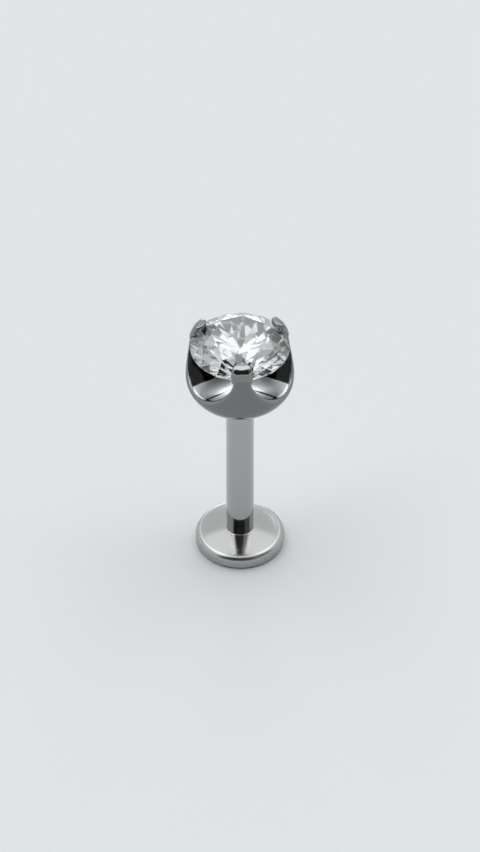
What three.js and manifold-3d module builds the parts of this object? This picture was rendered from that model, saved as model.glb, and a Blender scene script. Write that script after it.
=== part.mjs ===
// A flat-back labret stud: a round base disc with a hollow post, and a three-prong head with a
// round brilliant stone. The head's pin pushes into the post. Millimetres, +Z up, and the origin
// is at the middle of the disc's flat underside. One prong faces -Y.

import * as THREE from 'three';
import { ConvexGeometry } from 'three/addons/geometries/ConvexGeometry.js';
import { mergeVertices } from 'three/addons/utils/BufferGeometryUtils.js';
import Module from 'manifold-3d';

const wasm = await Module();
wasm.setup();

// ---- Driving dimensions -------------------------------------------------------------------

// Base disc and post
const DISC_RADIUS = 1.925;
const DISC_RIM = 0.62; // height of the disc at its rim
const DISC_CROWN = 0.78; // height of the domed top where it meets the post
const DISC_UNDER_EDGE = 0.12; // radii of the rim's two rounded edges
const DISC_UPPER_EDGE = 0.28;
const DISC_UPPER_SWEEP = 75; // degrees from the rim to the dome's edge
const DOME_STEPS = 5;
const POST_SIDES = 48;
const POST_RADIUS = 0.6; // 16 gauge
const POST_LENGTH = 7.47; // from the disc's crown to the head
const POST_FILLET = 0.03; // weld fillet at the post's foot
const POST_CHAMFER = 0.04;

// Push-fit pin, hidden in the post
const PIN_RADIUS = 0.35;
const PIN_LENGTH = 5.0;
const PIN_CHAMFER = 0.1;
const PIN_ROOT = 0.3; // how far the pin runs up into the setting
const PIN_SIDES = 24;
const PIN_PLAY = 0.05; // radial running clearance in the bore
const BORE_SPARE = 0.4; // depth of the bore past the pin's tip

// Stone: a round brilliant
const STONE_RADIUS = 2.11;
const TABLE_RATIO = 0.57;
const CROWN_ANGLE = 34.5;
const PAVILION_ANGLE = 40.75;
const STAR_LENGTH = 0.5; // how far the star facets reach from the table to the girdle
const LOWER_LENGTH = 0.77; // how far the lower halves reach from the girdle to the culet
const GIRDLE_HALF = 0.06;
const GIRDLE_SIDES = 64;
const FACET_TURN = 22.5; // degrees between neighbouring girdle corners
const STONE_PLAY = 0.03; // gap between the stone and its setting

// Three-prong setting: a turned blank with three slots milled from its sides to the axis. Heights
// are from the girdle plane.
const HEAD_DEPTH = 2.93; // from the girdle plane to the flat seat on the post
const CUP_RADIUS = 2.313;
const CUP_EQUATOR = -1.5; // height of the widest place
const CUP_BOWL = 1.5; // vertical half-axis of the rounded bottom
const CUP_RISE = 5.88; // and of the wall above the widest place
const CUP_POWER = 2.3; // of both superellipses
const BOWL_STEPS = 10;
const WALL_STEPS = 3;
const BEARING_CLEARANCE = 0.04; // gap between the stone's faces and their seats
const PRONG_COUNT = 3;
const SLOT_RADIUS = 1.64; // of the slot's round bottom, and half of its width
const SLOT_HEIGHT = -0.1; // of the round bottom's centre
const SLOT_STEPS = 14; // outline steps in a quarter turn
const CUT_SPARE = 0.3; // how far the cutters pass the setting

// Claws: tongues left at the tops of the prongs, bent in over the stone
const CLAW_SHOULDER = 0.04; // height where a claw's outer slope begins
const CLAW_SLOPE = 17; // its lean from the vertical, in degrees
const CLAW_TIP_RADIUS = 1.68; // from the axis to the end of a claw
const CLAW_TOP = 0.6; // height of that end
const CLAW_BEND = 0.75; // radius of the bend from the slope to the end
const CLAW_HALF_WIDTH = 0.46;
const CLAW_ROOT = -0.15; // height where a claw's sides begin
const CLAW_STEPS = 6; // outline steps in the half-round end

const CUP_SIDES = 72;
const SEAT_GAP = 0.02; // clearance between the head and the end of the post
const rad = THREE.MathUtils.degToRad;

// Derived heights
const postTop = DISC_CROWN + POST_LENGTH;
const girdleHeight = postTop + SEAT_GAP + HEAD_DEPTH;

// ---- Helpers ------------------------------------------------------------------------------

// A closed geometry as a solid that can be joined and cut.
function solid(geometry) {
  const bare = geometry.clone();
  bare.deleteAttribute('normal');
  bare.deleteAttribute('uv');
  const merged = mergeVertices(bare, 1e-5);
  const index = merged.index.array;
  const faces = [];
  for (let i = 0; i < index.length; i += 3) {
    const [a, b, c] = [index[i], index[i + 1], index[i + 2]];
    if (a !== b && b !== c && c !== a) faces.push(a, b, c);
  }
  return new wasm.Manifold(new wasm.Mesh({
    numProp: 3,
    vertProperties: new Float32Array(merged.attributes.position.array),
    triVerts: new Uint32Array(faces),
  }));
}

function geometryOf(manifold) {
  const mesh = manifold.getMesh();
  const geometry = new THREE.BufferGeometry();
  geometry.setAttribute('position', new THREE.BufferAttribute(mesh.vertProperties, 3));
  geometry.setIndex(new THREE.BufferAttribute(mesh.triVerts, 1));
  geometry.computeVertexNormals();
  return geometry;
}

// A profile of [radius, height] points turned about Z. It starts and ends on the axis and runs
// up the outside.
function turned(profile, sides) {
  const points = profile.map(([r, z]) => new THREE.Vector2(r, z));
  return new THREE.LatheGeometry(points, sides).rotateX(Math.PI / 2);
}

// Points of an arc in the [radius, height] plane, from angle a to angle b in degrees.
function arc(centre, radius, a, b, steps) {
  return Array.from({ length: steps + 1 }, (_, i) => {
    const angle = rad(a + ((b - a) * i) / steps);
    return [centre[0] + radius * Math.cos(angle), centre[1] + radius * Math.sin(angle)];
  });
}

// ---- Base disc and hollow post --------------------------------------------------------------

function flatbackPost() {
  const under = DISC_UNDER_EDGE;
  const upper = DISC_UPPER_EDGE;
  const edgeCentre = DISC_RADIUS - upper;
  const domeEnd = POST_RADIUS + POST_FILLET;
  const fall = (DISC_CROWN - DISC_RIM) / (edgeCentre ** 2 - domeEnd ** 2);
  const dome = Array.from({ length: DOME_STEPS }, (_, i) => {
    const r = edgeCentre + ((domeEnd - edgeCentre) * (i + 1)) / DOME_STEPS;
    return [r, DISC_CROWN - fall * (r ** 2 - domeEnd ** 2)];
  });
  const bore = PIN_RADIUS + PIN_PLAY;
  const boreFloor = postTop - PIN_LENGTH - BORE_SPARE;
  return turned([
    [0, 0],
    ...arc([DISC_RADIUS - under, under], under, -90, 0, 4),
    ...arc([edgeCentre, DISC_RIM - upper], upper, 0, DISC_UPPER_SWEEP, 5),
    ...dome,
    ...arc([domeEnd, DISC_CROWN + POST_FILLET], POST_FILLET, 270, 180, 3).slice(1),
    [POST_RADIUS, postTop - POST_CHAMFER],
    [POST_RADIUS - POST_CHAMFER, postTop],
    [bore, postTop],
    [bore, boreFloor],
    [0, boreFloor - bore / 2], // drill point
  ], POST_SIDES);
}

// ---- Round brilliant ------------------------------------------------------------------------

// The stone's corners, with the girdle plane at height 0 and an edge of the table facing -Y.
function stoneCorners() {
  const table = STONE_RADIUS * TABLE_RATIO;
  const crown = (STONE_RADIUS - table) * Math.tan(rad(CROWN_ANGLE));
  const pavilion = STONE_RADIUS * Math.tan(rad(PAVILION_ANGLE));
  const half = rad(FACET_TURN);
  const at = (r, angle, z) => new THREE.Vector3(r * Math.cos(angle), r * Math.sin(angle), z);

  // The star tips and the lower halves' tips lie on the planes of the kites and mains.
  const tableEdge = table * Math.cos(half);
  const starRadius = tableEdge + STAR_LENGTH * (STONE_RADIUS - tableEdge);
  const kiteSlope = crown / (STONE_RADIUS - table);
  const starHeight = kiteSlope * (STONE_RADIUS - starRadius * Math.cos(half));
  const lowerRadius = STONE_RADIUS * (1 - LOWER_LENGTH);
  const lowerDepth = pavilion * (1 - (lowerRadius * Math.cos(half)) / STONE_RADIUS);

  // A half facet holds one girdle corner at 0, one at 22.5 degrees, and the tip above or below
  // the second. Past the straight line between those corners it dips towards the girdle.
  const scallop = (angle, tipRadius, tipHeight) => {
    const turn = ((angle % half) + half) % half;
    const chord = Math.cos(half / 2) / Math.cos(turn - half / 2);
    const past = STONE_RADIUS * (1 - chord);
    const tipPast = STONE_RADIUS * Math.cos(half / 2) - tipRadius * Math.cos(half / 2);
    return (past * Math.cos(turn - half / 2) * tipHeight) / tipPast;
  };

  const points = [at(0, 0, -GIRDLE_HALF - pavilion)];
  for (let i = 0; i < 8; i++) {
    const kite = (2 * i + 1) * half;
    const star = kite + half;
    points.push(at(table, kite, GIRDLE_HALF + crown));
    points.push(at(starRadius, star, GIRDLE_HALF + starHeight));
    points.push(at(lowerRadius, star, -GIRDLE_HALF - lowerDepth));
  }
  for (let i = 0; i < GIRDLE_SIDES; i++) {
    const angle = (i * 2 * Math.PI) / GIRDLE_SIDES;
    points.push(at(STONE_RADIUS, angle, GIRDLE_HALF - scallop(angle, starRadius, starHeight)));
    points.push(at(STONE_RADIUS, angle, scallop(angle, lowerRadius, lowerDepth) - GIRDLE_HALF));
  }
  return points;
}

// ---- Three-prong setting --------------------------------------------------------------------

// The turned blank, with the stone's seat cut in it. Its rim has the claws' outline all round.
function blank() {
  const bearing = GIRDLE_HALF + BEARING_CLEARANCE;
  const slope = (angle) => Math.tan(rad(angle)) / Math.cos(rad(FACET_TURN / 2));
  const bulge = (halfHeight, z) => (Math.abs(z - CUP_EQUATOR) / halfHeight) ** CUP_POWER;
  const radiusAt = (halfHeight, z) => CUP_RADIUS * (1 - bulge(halfHeight, z)) ** (1 / CUP_POWER);
  const bowl = Array.from({ length: BOWL_STEPS + 1 }, (_, i) => {
    const z = CUP_EQUATOR - (HEAD_DEPTH + CUP_EQUATOR) * Math.cos(((i / BOWL_STEPS) * Math.PI) / 2);
    return [radiusAt(CUP_BOWL, z), z];
  });
  const wall = Array.from({ length: WALL_STEPS }, (_, i) => {
    const z = CUP_EQUATOR + ((CLAW_SHOULDER - CUP_EQUATOR) * (i + 1)) / WALL_STEPS;
    return [radiusAt(CUP_RISE, z), z];
  });

  // The bend's circle is centred under the claw's end and meets the outer slope at bendStart.
  const bendCentre = [CLAW_TIP_RADIUS, CLAW_TOP - CLAW_BEND];
  const shoulder = wall.at(-1);
  const reach = (shoulder[0] - bendCentre[0]) * Math.cos(rad(CLAW_SLOPE))
    + (shoulder[1] - bendCentre[1]) * Math.sin(rad(CLAW_SLOPE));
  const bendStart = CLAW_SLOPE + THREE.MathUtils.radToDeg(Math.acos(reach / CLAW_BEND));
  return turned([
    [0, -HEAD_DEPTH],
    ...bowl,
    ...wall,
    ...arc(bendCentre, CLAW_BEND, bendStart, 90, 4),
    [CLAW_TIP_RADIUS, bearing + (STONE_RADIUS - CLAW_TIP_RADIUS) * slope(CROWN_ANGLE)],
    [STONE_RADIUS + STONE_PLAY, bearing],
    [STONE_RADIUS + STONE_PLAY, -bearing],
    [0, -bearing - STONE_RADIUS * slope(PAVILION_ANGLE)],
  ], CUP_SIDES);
}

// A slot from the axis outwards: straight sides over a half-round bottom.
function slotCutter(azimuth) {
  const top = CLAW_TOP + CUT_SPARE;
  const outline = new THREE.Shape();
  outline.moveTo(SLOT_RADIUS, top);
  outline.lineTo(SLOT_RADIUS, SLOT_HEIGHT);
  outline.absarc(0, SLOT_HEIGHT, SLOT_RADIUS, 0, -Math.PI, true);
  outline.lineTo(-SLOT_RADIUS, top);
  const cutter = new THREE.ExtrudeGeometry(outline, {
    depth: CUP_RADIUS + CUT_SPARE,
    curveSegments: SLOT_STEPS,
    bevelEnabled: false,
  });
  const up = new THREE.Vector3(0, 0, 1);
  const out = new THREE.Vector3(Math.cos(azimuth), Math.sin(azimuth), 0);
  const across = new THREE.Vector3().crossVectors(up, out);
  return cutter.applyMatrix4(new THREE.Matrix4().makeBasis(across, up, out));
}

// A column with a round inner end, whose place in the blank is a claw.
function clawColumn(azimuth) {
  const outer = CUP_RADIUS + CUT_SPARE;
  const inner = CLAW_TIP_RADIUS + CLAW_HALF_WIDTH;
  const plan = new THREE.Shape();
  plan.moveTo(outer, -CLAW_HALF_WIDTH);
  plan.lineTo(inner, -CLAW_HALF_WIDTH);
  plan.absarc(inner, 0, CLAW_HALF_WIDTH, -Math.PI / 2, Math.PI / 2, true);
  plan.lineTo(outer, CLAW_HALF_WIDTH);
  const column = new THREE.ExtrudeGeometry(plan, {
    depth: CLAW_TOP + CUT_SPARE - CLAW_ROOT,
    curveSegments: CLAW_STEPS / 2,
    bevelEnabled: false,
  });
  return column.translate(0, 0, CLAW_ROOT).rotateZ(azimuth);
}

function prongSetting() {
  const whole = solid(blank());
  let setting = whole;
  const columns = [];
  for (let i = 0; i < PRONG_COUNT; i++) {
    const prong = rad(-90 + (360 * i) / PRONG_COUNT);
    setting = setting.subtract(solid(slotCutter(prong + Math.PI / PRONG_COUNT)));
    columns.push(solid(clawColumn(prong)));
  }
  for (const column of columns) setting = setting.add(whole.intersect(column));
  const pinTop = -HEAD_DEPTH + PIN_ROOT;
  const pin = turned([
    [0, -HEAD_DEPTH - PIN_LENGTH],
    [PIN_RADIUS - PIN_CHAMFER, -HEAD_DEPTH - PIN_LENGTH],
    [PIN_RADIUS, -HEAD_DEPTH - PIN_LENGTH + PIN_CHAMFER],
    [PIN_RADIUS, pinTop],
    [0, pinTop],
  ], PIN_SIDES);
  return geometryOf(setting.add(solid(pin)));
}

// ---- Assembly -------------------------------------------------------------------------------

function piece(name, geometry, material) {
  const mesh = new THREE.Mesh(geometry, new THREE.MeshStandardMaterial(material));
  mesh.name = name;
  return mesh;
}

const polished = { color: 0xb9babb, roughness: 0.12, metalness: 1 };
const clear = { color: 0xf2f5f6, roughness: 0.02, metalness: 0, transparent: true, opacity: 0.4 };

const head = new THREE.Group();
head.position.z = girdleHeight;
head.add(piece('prong_setting', prongSetting(), polished));
head.add(piece('stone', new ConvexGeometry(stoneCorners()), clear));

const group = new THREE.Group();
group.add(piece('flatback_post', flatbackPost(), polished));
group.add(head);

export default group;
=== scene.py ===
import math

import bmesh
import bpy
import numpy as np
import openvdb
from mathutils import Matrix, Vector


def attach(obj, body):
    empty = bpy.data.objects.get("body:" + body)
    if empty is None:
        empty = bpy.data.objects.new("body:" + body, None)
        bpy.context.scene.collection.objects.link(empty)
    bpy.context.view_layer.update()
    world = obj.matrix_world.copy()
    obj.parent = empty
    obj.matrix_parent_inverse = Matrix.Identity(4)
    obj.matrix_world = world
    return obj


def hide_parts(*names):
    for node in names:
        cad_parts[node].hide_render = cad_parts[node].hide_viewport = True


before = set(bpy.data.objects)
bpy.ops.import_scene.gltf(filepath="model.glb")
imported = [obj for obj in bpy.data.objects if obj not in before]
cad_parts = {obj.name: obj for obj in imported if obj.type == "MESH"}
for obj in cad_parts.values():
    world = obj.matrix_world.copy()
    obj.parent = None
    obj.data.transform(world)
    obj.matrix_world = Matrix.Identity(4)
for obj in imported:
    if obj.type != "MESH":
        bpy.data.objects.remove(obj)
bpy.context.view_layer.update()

MM = 0.001

# ---- Sizes, in millimetres and degrees ------------------------------------------------------

# Head. Heights are from the girdle plane, and an edge is how far a rounded edge reaches. The
# cup's section is an oval, CUP_BOWL deep below its equator and CUP_WALL_RISE high above it.
GIRDLE_Z = 11.2
HEAD_DEPTH = 2.93
BASE_EDGE = 0.06
CUP_RADIUS = 2.313
CUP_EQUATOR = -1.5
CUP_BOWL = 1.5
CUP_WALL_RISE = 5.88
CUP_POWER = 2.3
OVAL_MIN = 1e-5
PRONGS = 3
PRONG_STEP = 360.0 / PRONGS
FIRST_PRONG = -90.0
SLOT_RADIUS = 1.64
SLOT_HEIGHT = -0.1
SLOT_EDGE = 0.28
CLAW_SHOULDER = (2.267, 0.04)
CLAW_SLOPE = math.radians(17)
CLAW_TIP_RADIUS = 1.68
CLAW_TOP = 0.6
CLAW_BEND = 0.75
CLAW_HALF_WIDTH = 0.52
CLAW_ROOT = -0.15
CLAW_EDGE = 0.3
BEND_EDGE = 0.1
SHOULDER_EDGE = 0.03
ROOT_EDGE = 0.1
TIP_EDGE = 0.1
CLAW_FILLET = 0.06

# The stone's seat is cut with cones a little steeper than the stone's; the second number in
# each pair is the cosine that turns the height over the cone into a distance.
PLAY = 0.015
SEAT_CROWN = (0.70, 0.82)
SEAT_PAVILION = (0.88, 0.75)
SEAT_EDGE = 0.03

# The mesh of the head
GRID_LOW = (-2.5, -2.5, -3.1)
GRID_HIGH = (2.5, 2.5, 0.85)
GRID_STEP = 0.04
SNAP_ROUNDS = 4
MIN_GRADIENT = 1e-3
GRADIENT_STEP = 2e-3

# Pin
PIN_RADIUS = 0.35
PIN_LENGTH = 5.0
PIN_ROOT = 0.04
PIN_EDGE = 0.05
PIN_SIDES = 48
PIN_EDGE_STEPS = 6
PIN_STEPS = 10

# Post and disc. Heights are from the floor.
DISC_RADIUS = 1.925
FOOT_EDGE = 0.12
RIM_HEIGHT = 0.62
RIM_EDGE = 0.28
RIM_TURN = 78
DOME_HEIGHT = 0.78
POST_RADIUS = 0.6
POST_FILLET = 0.03
POST_TOP = 8.25
POST_CHAMFER = 0.04
BORE_RADIUS = 0.4
BORE_END = 2.85
BORE_TIP = 2.65
POST_SIDES = 128
FOOT_STEPS = 12
RIM_STEPS = 24
DOME_STEPS = 30
FILLET_STEPS = 10
POST_STEPS = 20
MERGE_DISTANCE = 1e-5

# Stone
STONE_RADIUS = 2.11
GIRDLE_HALF = 0.06
TABLE_RATIO = 0.57
CROWN_ANGLE = 34.5
PAVILION_ANGLE = 40.75
STAR_LENGTH = 0.5
LOWER_LENGTH = 0.77
STONE_FOLD = 8
STONE_TURN = math.radians(15)
STONE_SIDES = 96
BLANK_HEIGHT = 8
CUT_DISTANCE = 1e-5

# ---- Looks ----------------------------------------------------------------------------------

POST_COLOUR = (0.45, 0.45, 0.445, 1)
POST_ROUGHNESS = (0.065, 0.10)
POST_GRAIN = 1500.0
POST_GRAIN_STRETCH = (1, 1, 6)
CUP_ROUGHNESS = (0.03, 0.055)
CUP_GRAIN = 2500.0
BUMP_HEIGHT = 2e-7
STONE_IOR = 2.17
STONE_COLOUR = (0.985, 0.99, 0.99, 1)
STONE_ROUGHNESS = (0.04, 0.065)
STONE_GRAIN = 1200.0
FOIL_COLOUR = (0.8, 0.8, 0.8, 1)
FOIL_ROUGHNESS = (0.08, 0.14)
MIRROR_COLOUR = (0.93, 0.935, 0.935, 1)
FOIL_MAX_NORMAL_Z = -0.2

# Noise: scales are in bumps per metre, and a band is where a patch or scratch starts and ends
PATCH_GRAIN = 900.0
PATCH_BAND = (0.35, 0.65)
SCRATCHES = (
    (700.0, (1, 14, 3), (0.66, 0.70)),
    (600.0, (12, 1, 5), (0.67, 0.71)),
)
NOISE_DETAIL = 4.0
SCRATCH_DETAIL = 2.0
SCRATCH_ROUGHNESS = 0.07

# How much light the head's metal throws back, and the roughness added in the slots. The claws keep
# the metal's own tone; the darker outer wall and the near-black slot sides are painted shade, and
# the bright slot floor is a painted reflection
CLAW_SHADE = 0.27
WALL_PAINTED_SHADE = 0.21
SLOT_SIDE_PAINTED_SHADE = 0.03
FLOOR_PAINTED_REFLECTION = 0.85
FLOOR_SATIN = 0.3

# Where those change, as pairs of start and end: the distance from the slots and the height, in
# millimetres, and the normal's z on a slot's floor and y on the front prong's flanks, which get
# the floor's painted reflection
WALL_REACH = (0.06, 0.22)
WALL_TOP = (0.06, -0.02)
SLOT_REACH = (0.035, 0.01)
SLOT_TOP = (-0.3, -0.5)
FLOOR_NORMAL_Z = (0.95, 0.96)
FLANK_NORMAL_Y = (0.3, 0.32)

# The disc's added roughness, by the distance from the post's axis in millimetres
SATIN_RADII = (0.62, 0.66, 1.6, 1.75)
SATIN_LEVELS = (0, 0.05, 0.05, 0.2)

# ---- Studio and camera ----------------------------------------------------------------------

FLOOR_HALF = 0.6
FLOOR_COLOUR = (0.68, 0.695, 0.70, 1)
FLOOR_ROUGHNESS = 0.6

# Light by direction. UP is degrees over the horizon, and a pair is where a soft edge starts and
# ends. Nothing is divided by less than MIN_DIVISOR.
STUDIO_COLOUR = (0.965, 0.985, 1.0, 1)
WALL_LIGHT = 0.85
CEILING_LIGHT = 1.35
CEILING_UP = (44.0, 48.0)
MIN_DIVISOR = 0.01
IN_DEGREES = 180 / math.pi

# Softbox: SIDE and BACK are distances on a ceiling at height 1. It has a round-ended gap in the
# middle, open to the back.
SOFTBOX_LIGHT = 1.2
SOFTBOX_UP = (10.0, 30.0)
SOFTBOX_SIDE = (0.8, 0.7)
GAP_RADIUS = (0.52, 0.58)
GAP_BACK = 0.9

# Small bright patch at the back, which the stone's table reflects
GLARE_LIGHT = 1.2
GLARE_HALF_HEIGHT = (5.0, 3.5)
GLARE_HALF_WIDTH = (0.13, 0.09)
GLARE_SIDE = 0.05
GLARE_BACK = (0.0, 0.1)

# Bright band low at the back
LOW_LIGHT = 2.8
LOW_UP = (20.0, 16.0)
LOW_BACK = (0.3, 0.5)
LOW_SIDE = (0.26, 0.18)

# Dark zone on the camera's side and a wider dim one: the left and right edges, in degrees round
# from the camera's side to the right, and the share of the light that is kept
FRONT_TOP = (78.0, 70.0)
FRONT_BOTTOM = (6.0, 14.0)
FRONT_ZONES = (
    ((-56.0, -48.0), (40.0, 30.0), 0.1),
    ((-70.0, -48.0), (90.0, 70.0), 0.25),
)

# Light that is seen through the stone is raised to this power, which makes it less contrasty
STONE_LIGHT_POWER = 0.36

CAMERA_ELEVATION = 42.5
CAMERA_AZIMUTH = -2.5
CAMERA_DISTANCE = 0.3
CAMERA_CLIP = (0.01, 10)
AIM = Vector((0, 0, 0.00664))
PIXELS_PER_MM = 23.364
IMAGE_HEIGHT = 852
SENSOR = 36.0


# ---- The setting as a distance field --------------------------------------------------------

def smooth_max(a, b, k):
    h = np.clip(0.5 + 0.5 * (a - b) / k, 0.0, 1.0)
    return b + (a - b) * h + k * h * (1.0 - h)


def smooth_min(a, b, k):
    return -smooth_max(-a, -b, k)


def oval(x, y, half_x, half_y, power):
    """Rough distance to a superellipse about the origin, negative inside."""
    x = np.abs(x) + OVAL_MIN
    q = ((x / half_x) ** power + (np.abs(y) / half_y) ** power) ** (1.0 / power)
    return np.hypot(x, y) * (1.0 - 1.0 / q)


def slots_field(x, y, z):
    """Three round-bottomed slots between the prongs, milled from the sides to the middle."""
    fields = []
    for i in range(PRONGS):
        turn = math.radians(FIRST_PRONG + (i + 0.5) * PRONG_STEP)
        c, s = math.cos(turn), math.sin(turn)
        slot = np.hypot(y * c - x * s, np.minimum(z - SLOT_HEIGHT, 0.0)) - SLOT_RADIUS
        fields.append(np.maximum(slot, -(x * c + y * s)))
    return np.minimum.reduce(fields)


def claw_bend(r, z):
    """The rounded top of the claws, in section."""
    bend = np.hypot(np.maximum(r - CLAW_TIP_RADIUS, 0.0), z - CLAW_TOP + CLAW_BEND) - CLAW_BEND
    return np.where(z < CLAW_TOP - CLAW_BEND, r - CLAW_TIP_RADIUS - CLAW_BEND, bend)


def claw_tongues(u, rho, z):
    """Tongues with round tips; rho runs outwards along the nearest prong, and u across it."""
    past_tip = np.maximum(CLAW_TIP_RADIUS + CLAW_HALF_WIDTH - rho, 0.0)
    return smooth_max(np.hypot(u, past_tip) - CLAW_HALF_WIDTH, CLAW_ROOT - z, ROOT_EDGE)


def seat(r, z):
    (crown_slope, crown_cos), (pavilion_slope, pavilion_cos) = SEAT_CROWN, SEAT_PAVILION
    crown = (z - GIRDLE_HALF - PLAY - (STONE_RADIUS - r) * crown_slope) * crown_cos
    pavilion = -(z + GIRDLE_HALF + PLAY + (STONE_RADIUS - r) * pavilion_slope) * pavilion_cos
    return np.maximum(np.maximum(crown, pavilion), r - STONE_RADIUS - PLAY)


def setting_field(p):
    x, y, z = p[..., 0], p[..., 1], p[..., 2]
    r = np.hypot(x, y)

    rise = z - CUP_EQUATOR
    outer = oval(r, rise, CUP_RADIUS, np.where(rise < 0, CUP_BOWL, CUP_WALL_RISE), CUP_POWER)
    outer = smooth_max(outer, -(z + HEAD_DEPTH), BASE_EDGE)
    shoulder_r, shoulder_z = CLAW_SHOULDER
    slope = (r - shoulder_r) * math.cos(CLAW_SLOPE) + (z - shoulder_z) * math.sin(CLAW_SLOPE)
    outer = smooth_max(outer, smooth_max(slope, claw_bend(r, z), BEND_EDGE), SHOULDER_EDGE)

    prongs = smooth_max(outer, -slots_field(x, y, z), SLOT_EDGE)

    half = PRONG_STEP / 2
    from_prong = (np.degrees(np.arctan2(y, x)) + (half - FIRST_PRONG)) % PRONG_STEP - half
    u, rho = r * np.sin(np.radians(from_prong)), r * np.cos(np.radians(from_prong))
    claws = smooth_max(outer, np.abs(u) - CLAW_HALF_WIDTH, CLAW_EDGE)
    claws = smooth_max(claws, claw_tongues(u, rho, z), TIP_EDGE)

    return smooth_max(smooth_min(prongs, claws, CLAW_FILLET), -seat(r, z), SEAT_EDGE)


def gradient(field, points):
    parts = []
    for axis in range(3):
        shift = np.zeros(3)
        shift[axis] = GRADIENT_STEP
        parts.append((field(points + shift) - field(points - shift)) / (2 * GRADIENT_STEP))
    return np.stack(parts, -1)


def meshed(name, field, low, high, step):
    """A mesh of the surface where field is 0, with its corners and their normals set by it."""
    axes = [np.arange(a, b + step, step) for a, b in zip(low, high)]
    values = np.empty([len(a) for a in axes], np.float32)
    for i, x in enumerate(axes[0]):
        y, z = np.meshgrid(axes[1], axes[2], indexing="ij")
        values[i] = field(np.stack([np.full_like(y, x), y, z], -1))
    grid = openvdb.FloatGrid(float(values.max()))
    grid.copyFromArray(values)
    points, quads = grid.convertToQuads(0.0)
    points = points * step + np.array(low)
    for _ in range(SNAP_ROUNDS):
        slope = gradient(field, points)
        size = np.maximum(np.linalg.norm(slope, axis=-1, keepdims=True), MIN_GRADIENT)
        points = points - slope * (field(points)[:, None] / size ** 2).clip(-step, step)
    normals = gradient(field, points)
    normals /= np.linalg.norm(normals, axis=-1, keepdims=True)
    mesh = bpy.data.meshes.new(name)
    mesh.from_pydata(points.tolist(), [], quads.tolist())
    mesh.update()
    return mesh, points, normals


def place(mesh, name, height, normals=None):
    """The object of a mesh in millimetres, raised by height."""
    scale = Matrix.Diagonal((MM, MM, MM, 1))
    mesh.transform(scale @ Matrix.Translation(Vector((0, 0, height))))
    obj = bpy.data.objects.new(name, mesh)
    bpy.context.scene.collection.objects.link(obj)
    if normals is not None:
        mesh.polygons.foreach_set("use_smooth", [True] * len(mesh.polygons))
        mesh.normals_split_custom_set_from_vertices(normals.tolist())
    return obj


# ---- Turned pieces --------------------------------------------------------------------------

def arc(centre, radius, a, b, steps):
    angles = np.radians(np.linspace(a, b, steps + 1))
    return [(centre[0] + radius * math.cos(t), centre[1] + radius * math.sin(t)) for t in angles]


def between(a, b, steps):
    """Even steps from a, which is left out, to b."""
    return [a + (b - a) * i / steps for i in range(1, steps + 1)]


def turned(name, profile, sides):
    """A mesh of the (radius, height) profile, turned about the Z axis."""
    rows = len(profile)
    verts = []
    for i in range(sides):
        c, s = math.cos(2 * math.pi * i / sides), math.sin(2 * math.pi * i / sides)
        verts += [(r * c, r * s, z) for r, z in profile]
    faces = []
    for i in range(sides):
        a, b = i * rows, (i + 1) % sides * rows
        faces += [(a + j, b + j, b + j + 1, a + j + 1) for j in range(rows - 1)]
    mesh = bpy.data.meshes.new(name)
    mesh.from_pydata(verts, [], faces)
    bm = bmesh.new()
    bm.from_mesh(mesh)
    bmesh.ops.remove_doubles(bm, verts=bm.verts, dist=MERGE_DISTANCE)
    bm.to_mesh(mesh)
    bm.free()
    mesh.polygons.foreach_set("use_smooth", [True] * len(mesh.polygons))
    return mesh


def pin_profile():
    top, end = PIN_ROOT - HEAD_DEPTH, -HEAD_DEPTH - PIN_LENGTH
    flat, shoulder = PIN_RADIUS - PIN_EDGE, end + PIN_EDGE
    return [
        (0, end), (flat, end),
        *arc((flat, shoulder), PIN_EDGE, -90, 0, PIN_EDGE_STEPS)[1:],
        *[(PIN_RADIUS, z) for z in between(shoulder, top, PIN_STEPS)],
        (0, top),
    ]


def post_profile():
    foot, rim, root = DISC_RADIUS - FOOT_EDGE, DISC_RADIUS - RIM_EDGE, POST_RADIUS + POST_FILLET
    post_start, post_end = DOME_HEIGHT + POST_FILLET, POST_TOP - POST_CHAMFER

    def dome(r):
        share = (r ** 2 - root ** 2) / (rim ** 2 - root ** 2)
        return DOME_HEIGHT - (DOME_HEIGHT - RIM_HEIGHT) * share

    return [
        (0, 0), *[(r, 0) for r in between(0, foot, FOOT_STEPS)[:-1]],
        *arc((foot, FOOT_EDGE), FOOT_EDGE, -90, 0, FOOT_STEPS),
        *arc((rim, RIM_HEIGHT - RIM_EDGE), RIM_EDGE, 0, RIM_TURN, RIM_STEPS),
        *[(r, dome(r)) for r in between(rim, root, DOME_STEPS)],
        *arc((root, post_start), POST_FILLET, 270, 180, FILLET_STEPS)[1:],
        *[(POST_RADIUS, z) for z in between(post_start, post_end, POST_STEPS)],
        (POST_RADIUS - POST_CHAMFER, POST_TOP),
        (BORE_RADIUS, POST_TOP), (BORE_RADIUS, BORE_END), (0, BORE_TIP),
    ]


# ---- Stone ----------------------------------------------------------------------------------

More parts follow.
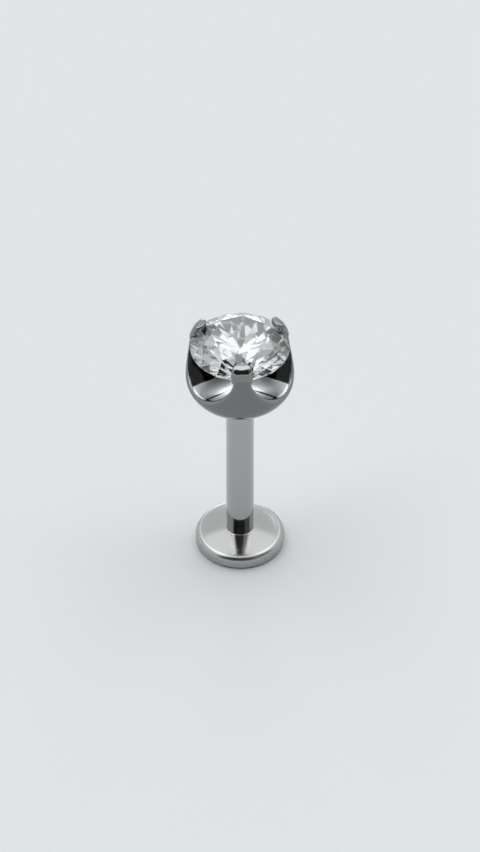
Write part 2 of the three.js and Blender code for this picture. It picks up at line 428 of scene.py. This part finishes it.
def facet_planes():
    """A point and the outward normal of each facet of a round brilliant, without its girdle."""
    table = STONE_RADIUS * TABLE_RATIO
    crown = (STONE_RADIUS - table) * math.tan(math.radians(CROWN_ANGLE))
    pavilion = STONE_RADIUS * math.tan(math.radians(PAVILION_ANGLE))
    half = math.pi / STONE_FOLD
    edge = table * math.cos(half)
    star_r = edge + STAR_LENGTH * (STONE_RADIUS - edge)
    star_z = crown / (STONE_RADIUS - table) * (STONE_RADIUS - star_r * math.cos(half))
    low_r = STONE_RADIUS * (1 - LOWER_LENGTH)
    low_z = pavilion * (1 - low_r * math.cos(half) / STONE_RADIUS)
    top, bottom = GIRDLE_HALF, -GIRDLE_HALF

    def at(r, turn, z):
        return Vector((r * math.cos(turn), r * math.sin(turn), z))

    def plane(a, b, c):
        normal = (b - a).cross(c - a).normalized()
        return a, (-normal if normal.dot(a) < 0 else normal)

    culet = at(0, 0, bottom - pavilion)
    planes = [(Vector((0, 0, top + crown)), Vector((0, 0, 1)))]
    for i in range(STONE_FOLD):
        k = (2 * i + 1) * half
        s = k + half
        corner, next_corner = at(table, k, top + crown), at(table, k + 2 * half, top + crown)
        star, last_star = at(star_r, s, top + star_z), at(star_r, s - 2 * half, top + star_z)
        low, last_low = at(low_r, s, bottom - low_z), at(low_r, s - 2 * half, bottom - low_z)
        above = [at(STONE_RADIUS, turn, top) for turn in (k, s, s + half)]
        below = [at(STONE_RADIUS, turn, bottom) for turn in (k, s, s + half)]
        planes += [
            plane(corner, star, last_star),
            plane(corner, next_corner, star),
            plane(star, above[0], above[1]),
            plane(star, above[1], above[2]),
            plane(culet, low, last_low),
            plane(low, below[0], below[1]),
            plane(low, below[1], below[2]),
        ]
    return planes


def brilliant(name):
    """A round rod, cut along each facet."""
    bm = bmesh.new()
    bmesh.ops.create_cone(bm, cap_ends=True, segments=STONE_SIDES, radius1=STONE_RADIUS,
                          radius2=STONE_RADIUS, depth=BLANK_HEIGHT)
    for point, normal in facet_planes():
        cut = bmesh.ops.bisect_plane(bm, geom=bm.verts[:] + bm.edges[:] + bm.faces[:],
                                     dist=CUT_DISTANCE, plane_co=point, plane_no=normal,
                                     clear_outer=True)
        edges = [e for e in cut["geom_cut"] if isinstance(e, bmesh.types.BMEdge)]
        if edges:
            bmesh.ops.edgenet_fill(bm, edges=edges)
    bmesh.ops.recalc_face_normals(bm, faces=bm.faces)
    mesh = bpy.data.meshes.new(name)
    bm.to_mesh(mesh)
    bm.free()
    mesh.transform(Matrix.Rotation(STONE_TURN, 4, "Z"))
    return mesh


# ---- Shader nodes ---------------------------------------------------------------------------

def calc(tree, operation, *values):
    """The result of one maths node; the values are numbers or the results of other nodes."""
    node = tree.nodes.new("ShaderNodeMath")
    node.operation = operation
    for socket, value in zip(node.inputs, values):
        if isinstance(value, bpy.types.NodeSocket):
            tree.links.new(value, socket)
        else:
            socket.default_value = value
    return node.outputs[0]


def ramp(tree, value, band, low=0.0, high=1.0):
    """Goes smoothly from low to high while value goes from the band's start to its end."""
    node = tree.nodes.new("ShaderNodeMapRange")
    node.interpolation_type = "SMOOTHSTEP"
    tree.links.new(value, node.inputs["Value"])
    for key, number in zip(("From Min", "From Max", "To Min", "To Max"), (*band, low, high)):
        node.inputs[key].default_value = number
    return node.outputs["Result"]


def noise(tree, scale, stretch=(1, 1, 1), detail=NOISE_DETAIL):
    """Noise of about 0 to 1 in the piece's own space."""
    where = tree.nodes.new("ShaderNodeTexCoord").outputs["Object"]
    mapping = tree.nodes.new("ShaderNodeMapping")
    mapping.inputs["Scale"].default_value = stretch
    tree.links.new(where, mapping.inputs["Vector"])
    node = tree.nodes.new("ShaderNodeTexNoise")
    node.inputs["Scale"].default_value = scale
    node.inputs["Detail"].default_value = detail
    tree.links.new(mapping.outputs[0], node.inputs["Vector"])
    return node.outputs[0]


def patchy(tree, scale, levels):
    """Goes from the first level to the second in patches."""
    return ramp(tree, noise(tree, scale), PATCH_BAND, *levels)


def attribute(tree, name):
    node = tree.nodes.new("ShaderNodeAttribute")
    node.attribute_name = name
    return node.outputs["Fac"]


# ---- Materials ------------------------------------------------------------------------------

def principled(name, **values):
    mat = bpy.data.materials.new(name)
    mat.use_nodes = True
    shader = mat.node_tree.nodes["Principled BSDF"]
    for key, value in values.items():
        shader.inputs[key.replace("_", " ")].default_value = value
    return mat, shader


def polish(mat, shader, levels, grain, stretch=(1, 1, 1)):
    """
    Roughness in patches between two levels, hairline scratches, and a very shallow bump.
    The mesh's own "satin" attribute is added to the roughness.
    """
    tree = mat.node_tree
    roughness = patchy(tree, PATCH_GRAIN, levels)
    for scale, direction, band in SCRATCHES:
        lines = noise(tree, scale, direction, SCRATCH_DETAIL)
        roughness = calc(tree, "ADD", roughness, ramp(tree, lines, band, 0.0, SCRATCH_ROUGHNESS))
    roughness = calc(tree, "ADD", roughness, attribute(tree, "satin"))
    tree.links.new(roughness, shader.inputs["Roughness"])
    bump = tree.nodes.new("ShaderNodeBump")
    bump.inputs["Distance"].default_value = BUMP_HEIGHT
    tree.links.new(noise(tree, grain, stretch), bump.inputs["Height"])
    tree.links.new(bump.outputs[0], shader.inputs["Normal"])


def post_metal():
    mat, shader = principled("polished_post", Base_Color=POST_COLOUR, Metallic=1.0)
    polish(mat, shader, POST_ROUGHNESS, POST_GRAIN, POST_GRAIN_STRETCH)
    return mat


def cup_metal():
    """Its colour is the mesh's own attribute: the metal's tone, with painted shade and a painted
    reflection in it.
    """
    mat, shader = principled("polished_setting", Metallic=1.0)
    mat.node_tree.links.new(attribute(mat.node_tree, "tone_with_painted_light"), shader.inputs["Base Color"])
    polish(mat, shader, CUP_ROUGHNESS, CUP_GRAIN)
    return mat


def paint(mesh, name, values):
    mesh.attributes.new(name, "FLOAT", "POINT").data.foreach_set("value", values)


def blend(values, band):
    """Goes evenly from 0 to 1 while the values go from the band's start to its end."""
    start, end = band
    return np.clip((values - start) / (end - start), 0, 1)


def cup_tone_and_painted_light(points, normals):
    """
    Tone with painted light: claws and lips keep the metal's tone, the outer wall is darker as
    painted shade, and in the slots the sides are near-black painted shade and the floor a bright
    painted reflection with satin roughness. The front prong's flanks, which face backwards, are
    given the floor's painted reflection and satin too.
    """
    slots, z = slots_field(*points.T), points[:, 2]
    wall = blend(slots, WALL_REACH) * blend(z, WALL_TOP)
    bright = np.maximum(blend(normals[:, 2], FLOOR_NORMAL_Z), blend(normals[:, 1], FLANK_NORMAL_Y))
    slot = blend(slots, SLOT_REACH) * blend(z, SLOT_TOP)
    # Painted shade: the outer wall is darker than the claws
    tone_with_painted_light = CLAW_SHADE + (WALL_PAINTED_SHADE - CLAW_SHADE) * wall
    # Painted reflection: the slot floor and the front prong's flanks are bright
    # Painted shade: the slot sides are near-black
    tone_with_painted_light += (SLOT_SIDE_PAINTED_SHADE + (FLOOR_PAINTED_REFLECTION - SLOT_SIDE_PAINTED_SHADE) * bright - tone_with_painted_light) * slot
    return tone_with_painted_light, bright * slot * FLOOR_SATIN


def clear_stone():
    mat = bpy.data.materials.new("clear_stone")
    mat.use_nodes = True
    tree = mat.node_tree
    tree.nodes.remove(tree.nodes["Principled BSDF"])
    glass = tree.nodes.new("ShaderNodeBsdfGlass")
    glass.inputs["IOR"].default_value = STONE_IOR
    glass.inputs["Color"].default_value = STONE_COLOUR
    tree.links.new(patchy(tree, STONE_GRAIN, STONE_ROUGHNESS), glass.inputs["Roughness"])
    tree.links.new(glass.outputs[0], tree.nodes["Material Output"].inputs["Surface"])
    return mat


def stone_foil():
    """The coat on the pavilion: a mirror from inside the stone, duller metal from outside."""
    mat, shader = principled("stone_foil", Base_Color=FOIL_COLOUR, Metallic=1.0)
    tree = mat.node_tree
    tree.links.new(patchy(tree, PATCH_GRAIN, FOIL_ROUGHNESS), shader.inputs["Roughness"])
    mirror = tree.nodes.new("ShaderNodeBsdfGlossy")
    mirror.inputs["Color"].default_value = MIRROR_COLOUR
    tree.links.new(patchy(tree, STONE_GRAIN, STONE_ROUGHNESS), mirror.inputs["Roughness"])
    inside = tree.nodes.new("ShaderNodeNewGeometry").outputs["Backfacing"]
    pick = tree.nodes.new("ShaderNodeMixShader")
    for source, socket in zip((inside, shader.outputs[0], mirror.outputs[0]), pick.inputs):
        tree.links.new(source, socket)
    tree.links.new(pick.outputs[0], tree.nodes["Material Output"].inputs["Surface"])
    return mat


# ---- Pieces ---------------------------------------------------------------------------------

cup_mesh, cup_points, cup_normals = meshed("prong_cup", setting_field, GRID_LOW, GRID_HIGH,
                                           GRID_STEP)
# The head's tone, with its painted shade and painted reflection, and its satin go into mesh
# attributes
cup_tone_with_painted_light, cup_satin = cup_tone_and_painted_light(cup_points, cup_normals)
paint(cup_mesh, "tone_with_painted_light", cup_tone_with_painted_light)
paint(cup_mesh, "satin", cup_satin)
cup = place(cup_mesh, "prong_cup", GIRDLE_Z, cup_normals)
cup.data.materials.append(cup_metal())
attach(cup, "head")
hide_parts("prong_setting")

pin_mesh = turned("push_pin", pin_profile(), PIN_SIDES)
# The pin takes the outer wall's painted-shade tone all over
paint(pin_mesh, "tone_with_painted_light", [WALL_PAINTED_SHADE] * len(pin_mesh.vertices))
pin = place(pin_mesh, "push_pin", GIRDLE_Z)
pin.data.materials.append(cup.data.materials[0])
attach(pin, "head")
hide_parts("prong_setting")

post_mesh = turned("post_and_disc", post_profile(), POST_SIDES)
post_radii = [vertex.co.to_2d().length for vertex in post_mesh.vertices]
paint(post_mesh, "satin", np.interp(post_radii, SATIN_RADII, SATIN_LEVELS))
post = place(post_mesh, "post_and_disc", 0)
post.data.materials.append(post_metal())
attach(post, "post")
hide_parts("flatback_post")

stone = place(brilliant("round_brilliant"), "round_brilliant", GIRDLE_Z)
stone.data.materials.append(clear_stone())
stone.data.materials.append(stone_foil())
for face in stone.data.polygons:
    if face.normal.z < FOIL_MAX_NORMAL_Z:
        face.material_index = 1
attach(stone, "head")
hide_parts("stone")

# ---- Studio ---------------------------------------------------------------------------------

floor_mesh = bpy.data.meshes.new("floor")
floor_signs = ((-1, -1), (1, -1), (1, 1), (-1, 1))
floor_corners = [(x * FLOOR_HALF, y * FLOOR_HALF, 0) for x, y in floor_signs]
floor_mesh.from_pydata(floor_corners, [], [(0, 1, 2, 3)])
floor = bpy.data.objects.new("floor", floor_mesh)
bpy.context.scene.collection.objects.link(floor)
floor_paint, _ = principled("floor", Base_Color=FLOOR_COLOUR, Roughness=FLOOR_ROUGHNESS)
floor.data.materials.append(floor_paint)


def studio_light():
    """Pale walls, a brighter ceiling with a softbox in it, and the dark side the camera is on."""
    world = bpy.data.worlds.new("studio")
    bpy.context.scene.world = world
    world.use_nodes = True
    tree = world.node_tree
    coordinate = tree.nodes.new("ShaderNodeTexCoord")
    split = tree.nodes.new("ShaderNodeSeparateXYZ")
    tree.links.new(coordinate.outputs["Generated"], split.inputs[0])
    x, y, z = split.outputs

    def plus(a, b):
        return calc(tree, "ADD", a, b)

    def minus(a, b):
        return calc(tree, "SUBTRACT", a, b)

    def times(a, b):
        return calc(tree, "MULTIPLY", a, b)

    def over(a, b):
        return calc(tree, "DIVIDE", a, calc(tree, "MAXIMUM", b, MIN_DIVISOR))

    def absolute(a):
        return calc(tree, "ABSOLUTE", a)

    def edge(value, band):
        return ramp(tree, value, band)

    elevation = times(calc(tree, "ARCSINE", z), IN_DEGREES)
    azimuth = times(calc(tree, "ARCTAN2", x, times(y, -1.0)), IN_DEGREES)
    side, back = over(x, z), over(y, z)

    light = ramp(tree, elevation, CEILING_UP, WALL_LIGHT, CEILING_LIGHT)

    gap_y = calc(tree, "MINIMUM", minus(back, GAP_BACK), 0.0)
    gap_distance = calc(tree, "SQRT", plus(times(side, side), times(gap_y, gap_y)))
    softbox = times(edge(gap_distance, GAP_RADIUS), edge(elevation, SOFTBOX_UP))
    softbox = times(softbox, edge(absolute(side), SOFTBOX_SIDE))
    light = plus(light, times(softbox, SOFTBOX_LIGHT))

    glare = edge(absolute(minus(elevation, CAMERA_ELEVATION)), GLARE_HALF_HEIGHT)
    glare = times(glare, edge(absolute(minus(side, GLARE_SIDE)), GLARE_HALF_WIDTH))
    glare = times(glare, edge(y, GLARE_BACK))
    light = plus(light, times(glare, GLARE_LIGHT))

    low = times(edge(elevation, LOW_UP), edge(y, LOW_BACK))
    low = times(low, edge(absolute(over(x, y)), LOW_SIDE))
    light = plus(light, times(low, LOW_LIGHT))

    front = times(edge(elevation, FRONT_TOP), edge(elevation, FRONT_BOTTOM))
    for left, right, kept in FRONT_ZONES:
        zone = times(times(edge(azimuth, left), edge(azimuth, right)), front)
        light = times(light, ramp(tree, zone, (0.0, 1.0), 1.0, kept))

    softer = calc(tree, "POWER", light, STONE_LIGHT_POWER)
    through = tree.nodes.new("ShaderNodeLightPath").outputs["Is Transmission Ray"]
    light = plus(light, times(minus(softer, light), through))
    background = tree.nodes["Background"]
    background.inputs["Color"].default_value = STUDIO_COLOUR
    tree.links.new(light, background.inputs["Strength"])


studio_light()

# ---- Camera ---------------------------------------------------------------------------------

camera_data = bpy.data.cameras.new("camera")
camera = bpy.data.objects.new("camera", camera_data)
bpy.context.scene.collection.objects.link(camera)
camera_data.sensor_fit = "VERTICAL"
camera_data.sensor_height = SENSOR
camera_data.lens = SENSOR * PIXELS_PER_MM * CAMERA_DISTANCE / MM / IMAGE_HEIGHT
camera_data.clip_start, camera_data.clip_end = CAMERA_CLIP
tilt, turn = math.radians(CAMERA_ELEVATION), math.radians(CAMERA_AZIMUTH)
away = Vector((math.sin(turn) * math.cos(tilt), -math.cos(turn) * math.cos(tilt), math.sin(tilt)))
camera.location = AIM + away * CAMERA_DISTANCE
camera.rotation_euler = away.to_track_quat("Z", "Y").to_euler()
bpy.context.scene.camera = camera
bpy.context.scene.view_settings.view_transform = "Standard"
